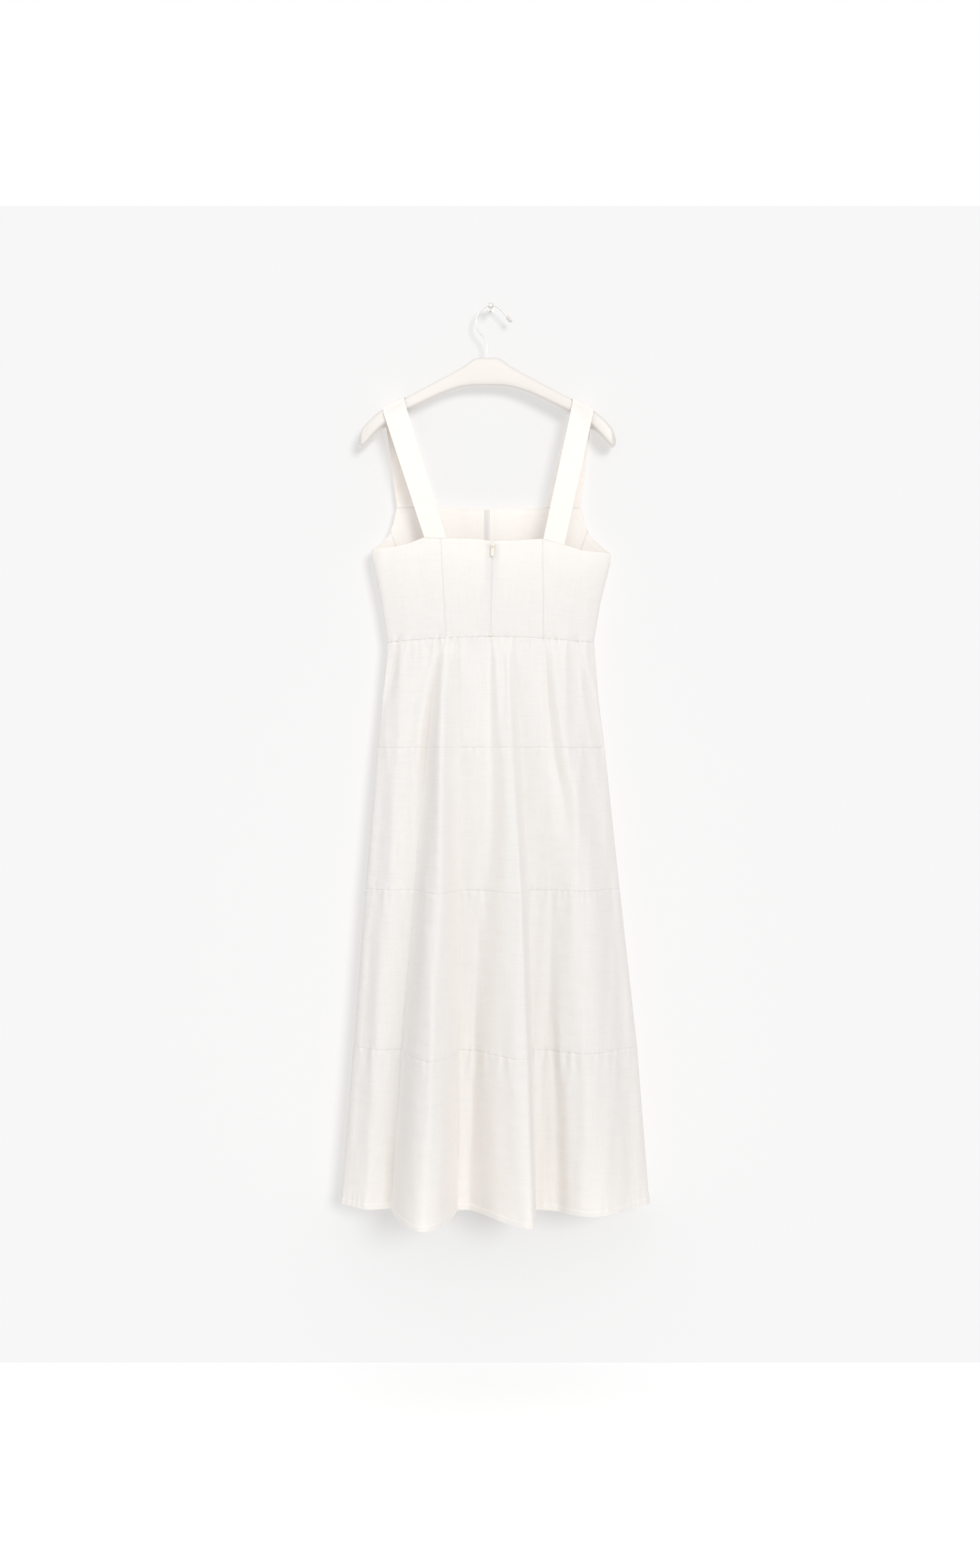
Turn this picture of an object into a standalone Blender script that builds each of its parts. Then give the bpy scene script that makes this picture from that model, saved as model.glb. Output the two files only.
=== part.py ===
"""A long sleeveless linen dress with four skirt tiers, hanging on a contoured hanger from a wall peg.

Metres, +Z up. The wall is the plane y = 0 and the dress hangs in front of it, at y below 0, with its zipped back
to the room. The origin is the middle of the peg's flat back face. Left is x below 0.
"""

import math

import bmesh
import bpy
import numpy as np
from mathutils import Vector

# Cloth
CLOTH = 0.0016
SEAM_GAP = 0.0003
SEAM_EDGE = 0.001
SIDE_EASE = 0.25

# The ring of the dress at its main levels: z, side seams in x, the side seams' y, and the reach of the back and the
# front from there
RING = (
    dict(level="bust", z=-0.405, left=-0.193, right=0.195, middle=-0.034, back=0.030, front=0.024),
    dict(level="ribs", z=-0.480, left=-0.178, right=0.178, middle=-0.034, back=0.026, front=0.022),
    dict(level="waist", z=-0.548, left=-0.168, right=0.168, middle=-0.034, back=0.022, front=0.020),
    dict(level="hip", z=-0.640, left=-0.176, right=0.175, middle=-0.035, back=0.029, front=0.023),
    dict(level="seam 1", z=-0.720, left=-0.184, right=0.185, middle=-0.036, back=0.035, front=0.025),
    dict(level="seam 2", z=-0.949, left=-0.203, right=0.209, middle=-0.040, back=0.045, front=0.028),
    dict(level="seam 3", z=-1.204, left=-0.222, right=0.237, middle=-0.043, back=0.050, front=0.031),
    dict(level="hem", z=-1.460, left=-0.243, right=0.257, middle=-0.045, back=0.052, front=0.034),
)
WAIST = -0.550
WAIST_RISE = 0.009
WAIST_WAVE = 0.36
BODICE_TOP = -0.390
TIER_SEAMS = (-0.720, -0.949, -1.204, -1.458)

# Back folds that grow from the waist to the hem: crest in x, width to the left and right, height, and how far the
# crest leans over to the right
BACK_FOLDS = (
    dict(fold="left", waist=-0.070, middle=-0.082, hem=-0.094, left=(0.020, 0.072), right=(0.020, 0.046),
         height=(0.006, 0.094), lean=0.012),
    dict(fold="centre", waist=0.022, middle=0.038, hem=0.046, left=(0.026, 0.080), right=(0.018, 0.027),
         height=(0.005, 0.078), lean=0.017),
    dict(fold="right", waist=0.108, middle=0.148, hem=0.160, left=(0.024, 0.078), right=(0.020, 0.072),
         height=(0.005, 0.044), lean=0.004),
    dict(fold="left side", waist=-0.140, middle=-0.164, hem=-0.196, left=(0.016, 0.030), right=(0.018, 0.034),
         height=(0.004, 0.010), lean=0.0),
)
# Front folds, which reach inwards from the wall side
FRONT_FOLDS = (
    dict(fold="left", waist=-0.096, middle=-0.122, hem=-0.150, left=(0.020, 0.044), right=(0.020, 0.046),
         height=(0.003, 0.026), lean=0.0),
    dict(fold="left centre", waist=-0.036, middle=-0.044, hem=-0.050, left=(0.020, 0.040), right=(0.022, 0.044),
         height=(0.003, 0.020), lean=0.0),
    dict(fold="right centre", waist=0.034, middle=0.046, hem=0.060, left=(0.020, 0.046), right=(0.020, 0.042),
         height=(0.003, 0.024), lean=0.0),
    dict(fold="right", waist=0.098, middle=0.128, hem=0.162, left=(0.020, 0.044), right=(0.018, 0.040),
         height=(0.003, 0.022), lean=0.0),
)
FOLD_DROP = 0.13
FOLD_START = 0.030
FOLD_GROWTH = 0.75
FOLD_MIDDLE = 0.45
GATHER_START = 0.35
GATHER_RISE = 0.020
GATHER_ABOVE = 0.004

# Gathers below each seam that joins a fuller tier: x of each, half width, height and the length over which they fade
BACK_GATHERS = (
    dict(seam=0, at=(-0.148, -0.112, -0.088, -0.058, -0.026, -0.010, 0.004, 0.020, 0.034, 0.092, 0.112, 0.146),
         half=0.0075, height=0.0024, fade=0.110),
    dict(seam=1, at=(-0.160, -0.128, -0.050, -0.022, 0.004, 0.082, 0.098, 0.172), half=0.009, height=0.0014, fade=0.080),
    dict(seam=2, at=(-0.170, -0.140, -0.044, -0.016, 0.092, 0.108, 0.126, 0.144, 0.190), half=0.010, height=0.0018,
         fade=0.090),
    dict(seam=3, at=(-0.190, -0.160, -0.030, -0.012, 0.006, 0.092, 0.126, 0.150, 0.200), half=0.012, height=0.0024,
         fade=0.110),
)
FRONT_GATHERS = (
    dict(seam=0, at=(-0.140, -0.112, -0.084, -0.056, -0.028, 0.0, 0.028, 0.056, 0.084, 0.112, 0.140), half=0.009,
         height=0.0022, fade=0.100),
    dict(seam=1, at=(-0.150, -0.090, -0.030, 0.030, 0.090, 0.150), half=0.012, height=0.0014, fade=0.080),
    dict(seam=2, at=(-0.170, -0.110, -0.060, 0.010, 0.070, 0.130, 0.180), half=0.013, height=0.0016, fade=0.090),
    dict(seam=3, at=(-0.190, -0.130, -0.070, 0.0, 0.080, 0.140, 0.200), half=0.014, height=0.0020, fade=0.100),
)
BACK_COLUMNS = 58
FRONT_COLUMNS = 30
TIER_ROWS = 4

# Bodice: its upper edges and its seams, from the left side seam to the right one
BACK_TOP = (
    dict(x=-0.195, z=-0.398), dict(x=-0.155, z=-0.3955), dict(x=-0.130, z=-0.390), dict(x=-0.108, z=-0.3815),
    dict(x=-0.070, z=-0.3835), dict(x=-0.014, z=-0.3855), dict(x=0.0, z=-0.388), dict(x=0.032, z=-0.3875),
    dict(x=0.084, z=-0.384), dict(x=0.120, z=-0.3935), dict(x=0.148, z=-0.402), dict(x=0.196, z=-0.405),
)
FRONT_TOP = (
    dict(x=-0.195, z=-0.398), dict(x=-0.180, z=-0.387), dict(x=-0.167, z=-0.373), dict(x=-0.159, z=-0.352),
    dict(x=-0.154, z=-0.327), dict(x=-0.092, z=-0.3245), dict(x=0.0, z=-0.328), dict(x=0.090, z=-0.3255),
    dict(x=0.149, z=-0.327), dict(x=0.154, z=-0.354), dict(x=0.163, z=-0.373), dict(x=0.178, z=-0.389),
    dict(x=0.196, z=-0.405),
)
BACK_SEAMS = (
    dict(piece="bodice_side_back_left", waist=-0.072, top=-0.081, columns=8),
    dict(piece="bodice_back_left", waist=0.0, top=0.003, columns=5),
    dict(piece="bodice_back_right", waist=0.086, top=0.084, columns=5),
    dict(piece="bodice_side_back_right", waist=None, top=None, columns=8),
)
FRONT_SEAMS = (
    dict(piece="bodice_side_front_left", waist=-0.096, top=-0.164, columns=6),
    dict(piece="bodice_front_left", waist=-0.002, top=-0.002, columns=12),
    dict(piece="bodice_front_right", waist=0.094, top=0.159, columns=12),
    dict(piece="bodice_side_front_right", waist=None, top=None, columns=6),
)
BODICE_ROWS = 7
BODICE_SEAM_EDGE = 0.012

# Hanger body: half of its stations, from its middle to its end, with the depth along y
HANGER_X = -0.0055
HANGER_Y = -0.026
HANGER_STATIONS = (
    dict(x=0.000, top=-0.0840, bottom=-0.1290, depth=0.024),
    dict(x=0.016, top=-0.0842, bottom=-0.1292, depth=0.024),
    dict(x=0.023, top=-0.0865, bottom=-0.1296, depth=0.024),
    dict(x=0.032, top=-0.0940, bottom=-0.1303, depth=0.024),
    dict(x=0.050, top=-0.1050, bottom=-0.1345, depth=0.024),
    dict(x=0.074, top=-0.1182, bottom=-0.1434, depth=0.026),
    dict(x=0.100, top=-0.1325, bottom=-0.1562, depth=0.029),
    dict(x=0.126, top=-0.1465, bottom=-0.1694, depth=0.033),
    dict(x=0.150, top=-0.1590, bottom=-0.1830, depth=0.036),
    dict(x=0.170, top=-0.1695, bottom=-0.1972, depth=0.038),
    dict(x=0.186, top=-0.1818, bottom=-0.2130, depth=0.038),
    dict(x=0.197, top=-0.1925, bottom=-0.2245, depth=0.036),
    dict(x=0.205, top=-0.2035, bottom=-0.2290, depth=0.030),
    dict(x=0.2095, top=-0.2150, bottom=-0.2265, depth=0.016),
)
HANGER_SIDES = 16
HANGER_SQUARENESS = 0.62

# Straps: where they leave the back and the front bodice, and where they cross the hanger
STRAPS = (
    dict(piece="strap_left", back=(-0.1070, -0.0710), hanger=(-0.1740, -0.1400), front=(-0.1530, -0.0930)),
    dict(piece="strap_right", back=(0.0850, 0.1190), hanger=(0.1330, 0.1660), front=(0.0910, 0.1480)),
)
STRAP_COLUMNS = 4
STRAP_RUN_ROWS = 6
STRAP_WRAP_ROWS = 10
STRAP_CLEARANCE = 0.0018
STRAP_LEAVES_HANGER = math.radians(4)

# Hook, its sleeve and the wall peg
HOOK_Y = -0.0235
WIRE = 0.0015
HOOK_ROUTE = (
    dict(x=-0.0064, z=-0.0839), dict(x=-0.0066, z=-0.0580), dict(x=-0.0100, z=-0.0490), dict(x=-0.0175, z=-0.0405),
    dict(x=-0.0222, z=-0.0325), dict(x=-0.0238, z=-0.0235), dict(x=-0.0222, z=-0.0145), dict(x=-0.0170, z=-0.0055),
    dict(x=-0.0090, z=0.0015), dict(x=0.0000, z=0.0042), dict(x=0.0090, z=0.0022), dict(x=0.0175, z=-0.0040),
    dict(x=0.0240, z=-0.0115), dict(x=0.0270, z=-0.0150),
)
SLEEVE_RADIUS = 0.0031
SLEEVE_LENGTH = 0.0105
PEG_PROFILE = (
    dict(radius=0.0000, out=0.0390), dict(radius=0.0022, out=0.0385), dict(radius=0.0040, out=0.0370),
    dict(radius=0.0051, out=0.0345), dict(radius=0.0051, out=0.0322), dict(radius=0.0038, out=0.0298),
    dict(radius=0.0022, out=0.0284), dict(radius=0.0022, out=0.0050), dict(radius=0.0046, out=0.0042),
    dict(radius=0.0052, out=0.0030), dict(radius=0.0052, out=0.0000), dict(radius=0.0000, out=0.0000),
)

# Concealed zip in the centre back seam
ZIP_TAPE_WIDTH = 0.022
ZIP_TAPE_THICKNESS = 0.0008
ZIP_TOP = -0.3895
ZIP_BOTTOM = -0.5400
SLIDER = Vector((0.0062, 0.0016, 0.0090))
SLIDER_TOP = -0.3915
BRIDGE_WIDTH = 0.0012
BRIDGE_BAR = 0.0008
BRIDGE_WINDOW = 0.0011
PULL_LENGTH = 0.0170
PULL_THICKNESS = 0.0010
PULL_TOP_BAR = 0.0009
PULL_NECK = 0.0020
PULL_END = 0.00265
PULL_EYE = 0.0010
PULL_EYE_LENGTH = 0.0027
STOP_SIZE = Vector((0.0042, 0.0012, 0.0035))

# Materials: sRGB colour, roughness, metallic
FINISHES = dict(
    linen=((0.96, 0.945, 0.93), 0.85, 0.0),
    hanger_enamel=((0.96, 0.945, 0.93), 0.4, 0.0),
    steel=((0.78, 0.78, 0.78), 0.25, 1.0),
    zip_coating=((0.93, 0.92, 0.90), 0.4, 0.0),
)


def start():
    """Clears the scene and gives the dress its own collection."""
    for obj in list(bpy.data.objects):
        bpy.data.objects.remove(obj, do_unlink=True)
    parts = bpy.data.collections.new("linen_dress_on_hanger")
    bpy.context.scene.collection.children.link(parts)
    cutters = bpy.data.collections.new("cutters")
    cutters.hide_render = True
    bpy.context.scene.collection.children.link(cutters)
    return parts, cutters


def finish_of(name):
    material = bpy.data.materials.get(name)
    if material is None:
        colour, roughness, metallic = FINISHES[name]
        material = bpy.data.materials.new(name)
        material.use_nodes = True
        shader = material.node_tree.nodes["Principled BSDF"]
        shader.inputs["Base Color"].default_value = (*colour, 1.0)
        shader.inputs["Roughness"].default_value = roughness
        shader.inputs["Metallic"].default_value = metallic
    return material


def add_object(name, data, finish, collection):
    obj = bpy.data.objects.new(name, data)
    obj.data.materials.append(finish_of(finish))
    collection.objects.link(obj)
    return obj


def from_bmesh(name, bm, finish, collection):
    mesh = bpy.data.meshes.new(name)
    bm.to_mesh(mesh)
    bm.free()
    return add_object(name, mesh, finish, collection)


def read(table, where, key, value):
    """Reads a table's column at a place between its rows."""
    places = [row[key] for row in table]
    values = [row[value] for row in table]
    if places[0] > places[-1]:
        places.reverse()
        values.reverse()
    return float(np.interp(where, places, values))


def ring(z):
    return {side: read(RING, z, "z", side) for side in ("left", "right", "middle", "back", "front")}


def waist_line(x):
    return WAIST + WAIST_RISE * math.cos(math.pi * x / WAIST_WAVE)


def bump(distance, left, right):
    """1 on the crest and 0 from its width on."""
    share = distance / (left if distance < 0 else right)
    return 0.5 + 0.5 * math.cos(math.pi * share) if abs(share) < 1 else 0.0


def fall(z):
    """0 at the waist and 1 at the hem."""
    return min(max((WAIST - z) / (WAIST - TIER_SEAMS[-1]), 0.0), 1.0)


def fold_at(x, z, folds):
    """How far the folds move a point out, and along x."""
    down = fall(z)
    started = min(max((WAIST + WAIST_RISE - z) / FOLD_START, 0.0), 1.0)
    out = 0.0
    along = 0.0
    for row in folds:
        crest = float(np.interp(down, (0.0, FOLD_MIDDLE, 1.0), (row["waist"], row["middle"], row["hem"])))
        grown = down ** FOLD_GROWTH
        left, right, height = (a + (b - a) * grown for a, b in (row["left"], row["right"], row["height"]))
        share = bump(x - crest, left, right)
        out += height * share * started
        along += row["lean"] * share * down
    return out, along


def gather_at(x, z, gathers):
    """How far the gathers below the nearest seam above move a point out."""
    seams = (WAIST,) + TIER_SEAMS
    out = 0.0
    for row in gathers:
        below = seams[row["seam"]] - z
        if below < -GATHER_ABOVE or below > row["fade"]:
            continue
        rising = min(1.0, GATHER_START + below / GATHER_RISE)
        strength = row["height"] * rising * (1 - max(below, 0.0) / row["fade"])
        out += strength * sum(bump(x - place, row["half"], row["half"]) for place in row["at"])
    return out


def cloth_point(angle, z, side):
    """A point of the dress: its angle round the ring, from the left side seam to the right one, and its level."""
    at = ring(z)
    half = (at["right"] - at["left"]) / 2
    x = (at["right"] + at["left"]) / 2 + half * math.sin(angle)
    reach = math.cos(angle)
    if side == "back":
        out, along = fold_at(x, z, BACK_FOLDS)
        gathers = BACK_GATHERS
        toward = -1
    else:
        out, along = fold_at(x, z, FRONT_FOLDS)
        out = -out
        gathers = FRONT_GATHERS
        toward = 1
    edge = min(1.0, reach / SIDE_EASE)
    lift = gather_at(x, z, gathers) * edge if z < WAIST + WAIST_RISE else 0.0
    y = at["middle"] + toward * (SEAM_GAP / 2 + at[side] * reach + (out + lift) * edge)
    drop = FOLD_DROP * abs(out) * edge * fall(z) if side == "back" else 0.0
    return Vector((x + along * edge, y, z - drop))


def cloth_panel(name, place, columns, rows, collection):
    """A wall of cloth: a flat grid that place(column, row) moves into shape, thickened both ways."""
    across = len(columns) - 1
    down = len(rows) - 1
    bm = bmesh.new()
    bmesh.ops.create_grid(bm, x_segments=across, y_segments=down, size=0.5)
    for vert in bm.verts:
        column = columns[round((vert.co.x + 0.5) * across)]
        row = rows[round((vert.co.y + 0.5) * down)]
        vert.co = place(column, row)
    panel = from_bmesh(name, bm, "linen", collection)
    panel.data.shade_smooth()
    wall = panel.modifiers.new("cloth", "SOLIDIFY")
    wall.thickness = CLOTH
    wall.offset = 0.0
    return panel


def with_seam_edges(values, edge):
    """The same values with a narrow cell beside each end, so that a wall ends square to its seam."""
    first, last = values[0], values[-1]
    return [first, first + edge] + list(values[1:-1]) + [last - edge, last]


def skirt_columns(side, count):
    """Angles that are evenly spaced along the folded cloth at the third tier's middle."""
    z = (TIER_SEAMS[1] + TIER_SEAMS[2]) / 2
    angles = np.linspace(-math.pi / 2, math.pi / 2, 721)
    points = np.array([cloth_point(angle, z, side) for angle in angles])
    run = np.concatenate(([0.0], np.cumsum(np.linalg.norm(np.diff(points, axis=0), axis=1))))
    even = list(np.interp(np.linspace(0, run[-1], count + 1), run, angles))
    return with_seam_edges(even, SEAM_EDGE / ring(z)[side])


def skirt(collection):
    """Four tiers, each cut in a back and a front half."""
    for side, count in (("back", BACK_COLUMNS), ("front", FRONT_COLUMNS)):
        columns = skirt_columns(side, count)
        for tier, low in enumerate(TIER_SEAMS):
            high = None if tier == 0 else TIER_SEAMS[tier - 1] - SEAM_GAP / 2
            bottom = low + SEAM_GAP / 2 if tier < 3 else low

            def place(angle, row, high=high, bottom=bottom, side=side):
                top = high
                if top is None:
                    top = waist_line(cloth_point(angle, WAIST, side).x) - SEAM_GAP / 2
                return cloth_point(angle, bottom + (top - bottom) * row, side)

            rows = np.linspace(0, 1, TIER_ROWS + 1)
            cloth_panel(f"skirt_{side}_{tier + 1}", place, columns, rows, collection)


def bodice_place(side, table, start, end):
    """A function that places a bodice panel's points between two seams, from the waist to its upper edge."""

    def seam_angle(seam, row, sign):
        z = WAIST + (BODICE_TOP - WAIST) * row
        at = ring(z)
        if seam is None:
            return sign * math.pi / 2
        x = seam["waist"] + (seam["top"] - seam["waist"]) * row
        half = (at["right"] - at["left"]) / 2
        share = (x - (at["right"] + at["left"]) / 2) / half
        return math.asin(share) - sign * SEAM_GAP / 2 / (half * math.sqrt(1 - share * share))

    def place(column, row):
        low = seam_angle(start, row, -1)
        high = seam_angle(end, row, 1)
        angle = low + (high - low) * column
        x = cloth_point(angle, WAIST + (BODICE_TOP - WAIST) * row, side).x
        bottom = waist_line(x) + SEAM_GAP / 2
        z = bottom + (read(table, x, "x", "z") - bottom) * row
        point = cloth_point(angle, min(z, BODICE_TOP), side)
        return Vector((x, point.y, z))

    return place


def bodice(collection):
    """Four back and four front panels."""
    rows = np.linspace(0, 1, BODICE_ROWS + 1)
    for side, seams, table in (("back", BACK_SEAMS, BACK_TOP), ("front", FRONT_SEAMS, FRONT_TOP)):
        start = None
        for seam in seams:
            end = seam if seam["waist"] is not None else None
            place = bodice_place(side, table, start, end)
            columns = with_seam_edges(np.linspace(0, 1, seam["columns"] + 1), BODICE_SEAM_EDGE)
            cloth_panel(seam["piece"], place, columns, rows, collection)
            start = end


def hanger_section(x, turn, grow=0.0):
    """A point round the hanger at x: turn 0 faces the room, a quarter turn is up."""
    away = abs(x - HANGER_X)
    top = read(HANGER_STATIONS, away, "x", "top")
    bottom = read(HANGER_STATIONS, away, "x", "bottom")
    depth = read(HANGER_STATIONS, away, "x", "depth")
    level = math.sin(turn)
    reach = math.cos(turn)
    up = math.copysign(abs(level) ** HANGER_SQUARENESS, level) * ((top - bottom) / 2 + grow)
    out = math.copysign(abs(reach) ** HANGER_SQUARENESS, reach) * (depth / 2 + grow)
    return Vector((x, HANGER_Y - out, (top + bottom) / 2 + up))


def hanger_body(collection):
    """The shaped body, lofted through its sections."""
    half = [row["x"] for row in HANGER_STATIONS]
    stations = [HANGER_X - x for x in reversed(half)] + [HANGER_X + x for x in half[1:]]
    bm = bmesh.new()
    loops = []
    for x in stations:
        turns = (2 * math.pi * (step + 0.5) / HANGER_SIDES for step in range(HANGER_SIDES))
        loops.append([bm.verts.new(hanger_section(x, turn)) for turn in turns])
    for here, there in zip(loops, loops[1:]):
        for step in range(HANGER_SIDES):
            after = (step + 1) % HANGER_SIDES
            bm.faces.new((here[step], here[after], there[after], there[step]))
    bm.faces.new(loops[0])
    bm.faces.new(reversed(loops[-1]))
    bmesh.ops.recalc_face_normals(bm, faces=bm.faces)
    hanger = from_bmesh("hanger_body", bm, "hanger_enamel", collection)
    hanger.data.shade_smooth()


def strap_place(row):
    """A function that places a strap's points, from the back bodice over the hanger to the front bodice."""
    leave = STRAP_LEAVES_HANGER
    run = STRAP_RUN_ROWS
    wrap = STRAP_WRAP_ROWS

    def across(pair, column):
        return pair[0] + (pair[1] - pair[0]) * column

    def place(column, station):
        x = across(row["hanger"], column)
        if run <= station <= run + wrap:
            turn = leave + (math.pi - 2 * leave) * (station - run) / wrap
            return hanger_section(x, turn, STRAP_CLEARANCE)
        side = "back" if station < run else "front"
        x_base = across(row[side], column)
        table = BACK_TOP if side == "back" else FRONT_TOP
        z_base = read(table, x_base, "x", "z") + SEAM_GAP
        at = ring(BODICE_TOP)
        half = (at["right"] - at["left"]) / 2
        angle = math.asin((x_base - (at["right"] + at["left"]) / 2) / half)
        base = Vector((x_base, cloth_point(angle, BODICE_TOP, side).y, z_base))
        turn = leave if side == "back" else math.pi - leave
        top = hanger_section(x, turn, STRAP_CLEARANCE)
        share = station / run if side == "back" else (2 * run + wrap - station) / run
        return base + (top - base) * share

    return place


def straps(collection):
    """Two straps, each from the back over the hanger to the front."""
    stations = list(range(2 * STRAP_RUN_ROWS + STRAP_WRAP_ROWS + 1))
    for row in STRAPS:
        columns = np.linspace(0, 1, STRAP_COLUMNS + 1)
        cloth_panel(row["piece"], strap_place(row), columns, stations, collection)


def smooth_route(points, steps):
    """Points on a smooth curve through the given ones."""
    ends = [points[0] * 2 - points[1]] + points + [points[-1] * 2 - points[-2]]
    route = []
    for a, b, c, d in zip(ends, ends[1:], ends[2:], ends[3:]):
        for step in range(steps):
            t = step / steps
            route.append(b + (c - a) * t / 2 + (a * 2 - b * 5 + c * 4 - d) * t * t / 2
                         + (b * 3 - a - c * 3 + d) * t * t * t / 2)
    route.append(points[-1])
    return route


def tube(name, route, radius, finish, collection):
    """A round wire along a route, with closed ends."""
    curve = bpy.data.curves.new(name, "CURVE")
    curve.dimensions = "3D"
    curve.bevel_depth = radius
    curve.bevel_resolution = 2
    curve.use_fill_caps = True
    spline = curve.splines.new("POLY")
    spline.points.add(len(route) - 1)
    for point, place in zip(spline.points, route):
        point.co = (*place, 1.0)
    return add_object(name, curve, finish, collection)


def hook(collection):
    """The wire hook over the peg, and the sleeve on its tip."""
    points = [Vector((row["x"], HOOK_Y, row["z"])) for row in HOOK_ROUTE]
    tube("hanger_hook", smooth_route(points, 2), WIRE, "steel", collection)
    along = (points[-1] - points[-2]).normalized()
    start = points[-1] + along * SEAM_GAP
    ends = [start + along * SLEEVE_LENGTH * share for share in (0.0, 0.12, 0.88, 1.0)]
    sleeve = tube("hook_sleeve", ends, SLEEVE_RADIUS, "hanger_enamel", collection)
    for point, size in zip(sleeve.data.splines[0].points, (0.75, 1.0, 1.0, 0.6)):
        point.radius = size


def peg(collection):
    """The turned wall peg, with its flat back face on the wall."""
    bm = bmesh.new()
    verts = [bm.verts.new((row["radius"], 0, row["out"])) for row in PEG_PROFILE]
    for here, there in zip(verts, verts[1:]):
        bm.edges.new((here, there))
    turned = from_bmesh("wall_peg", bm, "steel", collection)
    turned.rotation_euler = (math.pi / 2, 0, 0)
    screw = turned.modifiers.new("turned", "SCREW")
    screw.steps = screw.render_steps = 20
    screw.use_merge_vertices = True
    screw.merge_threshold = 0.00005


def box(bm, size, centre):
    made = bmesh.ops.create_cube(bm, size=1.0)["verts"]
    for vert in made:
        vert.co = Vector((vert.co.x * size.x, vert.co.y * size.y, vert.co.z * size.z)) + centre


def back_face(x, z):
    """The outer face of the centre back at a point."""
    at = ring(z)
    half = (at["right"] - at["left"]) / 2
    angle = math.asin((x - (at["right"] + at["left"]) / 2) / half)
    return cloth_point(angle, z, "back").y - CLOTH / 2


def zip_x(z):
    """The centre back seam's place at a level."""
    seam = BACK_SEAMS[1]
    share = (z - WAIST) / (BODICE_TOP - WAIST)
    return seam["waist"] + (seam["top"] - seam["waist"]) * share


def zip_tape(collection):
    """The tape behind the seam, made from the back's own form, moved in."""
    inner = CLOTH + SEAM_GAP + ZIP_TAPE_THICKNESS / 2

    def place(column, row):
        z = ZIP_BOTTOM + (ZIP_TOP - ZIP_BOTTOM) * row
        x = zip_x(z) + ZIP_TAPE_WIDTH * (column - 0.5)
        return Vector((x, back_face(x, z) + inner, z))

    tape = cloth_panel("zip_tape", place, np.linspace(0, 1, 5), np.linspace(0, 1, 7), collection)
    tape.modifiers["cloth"].thickness = ZIP_TAPE_THICKNESS


def slider_axis():
    """The middle of the bridge's window, which the pull tab's top bar turns in."""
    z = SLIDER_TOP - SLIDER.z / 2
    face = back_face(zip_x(z), z) - SEAM_GAP - SLIDER.y
    return Vector((zip_x(z), face - BRIDGE_WINDOW, z))


def zip_slider(collection, cutters):
    """The slider's plate, and the square bridge that stands on it, joined into one piece."""
    axis = slider_axis()
    bm = bmesh.new()
    box(bm, SLIDER, axis + Vector((0, BRIDGE_WINDOW + SLIDER.y / 2, 0)))
    slider = from_bmesh("zip_slider", bm, "zip_coating", collection)
    middle = BRIDGE_WINDOW + BRIDGE_BAR / 2
    leg = Vector((BRIDGE_WIDTH, 2 * BRIDGE_WINDOW + BRIDGE_BAR, BRIDGE_BAR))
    bar = Vector((BRIDGE_WIDTH, BRIDGE_BAR, 2 * BRIDGE_WINDOW + 2 * BRIDGE_BAR))
    pieces = (
        dict(name="bridge_top", size=leg, place=Vector((0, 0, middle))),
        dict(name="bridge_foot", size=leg, place=Vector((0, 0, -middle))),
        dict(name="bridge_bar", size=bar, place=Vector((0, -middle, 0))),
    )
    for piece in pieces:
        bm = bmesh.new()
        box(bm, piece["size"], axis + piece["place"])
        helper = from_bmesh(piece["name"], bm, "zip_coating", cutters)
        helper.hide_render = True
        helper.display_type = "WIRE"
        joined = slider.modifiers.new(piece["name"], "BOOLEAN")
        joined.operation = "UNION"
        joined.object = helper


def arc(centre, radius, start, end, steps):
    """Points along an arc in the tab's plane, round a centre on its middle line."""
    turns = np.linspace(start, end, steps)
    return [(radius * math.cos(turn), centre + radius * math.sin(turn)) for turn in turns]


def zip_pull(collection):
    """A flat drop-shaped tab with a long eye, whose top bar sits in the slider's bridge."""
    curve = bpy.data.curves.new("zip_pull", "CURVE")
    curve.dimensions = "2D"
    curve.fill_mode = "BOTH"
    curve.extrude = PULL_THICKNESS / 2
    top = PULL_TOP_BAR / 2
    neck = top - PULL_NECK
    end = top - PULL_LENGTH + PULL_END
    tilt = math.asin((PULL_END - PULL_NECK) / (neck - end))
    outline = arc(neck, PULL_NECK, -tilt, math.pi + tilt, 9) + arc(end, PULL_END, math.pi + tilt, 2 * math.pi - tilt, 9)
    eye = arc(-top - PULL_EYE, PULL_EYE, 0, math.pi, 7)
    eye += arc(-top - PULL_EYE_LENGTH + PULL_EYE, PULL_EYE, math.pi, 2 * math.pi, 7)
    for loop in (outline, eye):
        spline = curve.splines.new("POLY")
        spline.points.add(len(loop) - 1)
        for point, (x, z) in zip(spline.points, loop):
            point.co = (x, z, 0, 1)
        spline.use_cyclic_u = True
    pull = add_object("zip_pull", curve, "zip_coating", collection)
    pull.rotation_euler = (math.pi / 2, 0, 0)
    pull.location = slider_axis()


def zip_stop(collection):
    """The small bottom stop, at the waist."""
    z = ZIP_BOTTOM + STOP_SIZE.z / 2
    y = back_face(zip_x(z), z) - SEAM_GAP - STOP_SIZE.y / 2
    bm = bmesh.new()
    box(bm, STOP_SIZE, Vector((zip_x(z), y, z)))
    from_bmesh("zip_stop", bm, "zip_coating", collection)


def main():
    parts, cutters = start()
    bodice(parts)
    straps(parts)
    skirt(parts)
    hanger_body(parts)
    hook(parts)
    peg(parts)
    zip_tape(parts)
    zip_slider(parts, cutters)
    zip_pull(parts)
    zip_stop(parts)


main()
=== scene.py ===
import math

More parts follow.
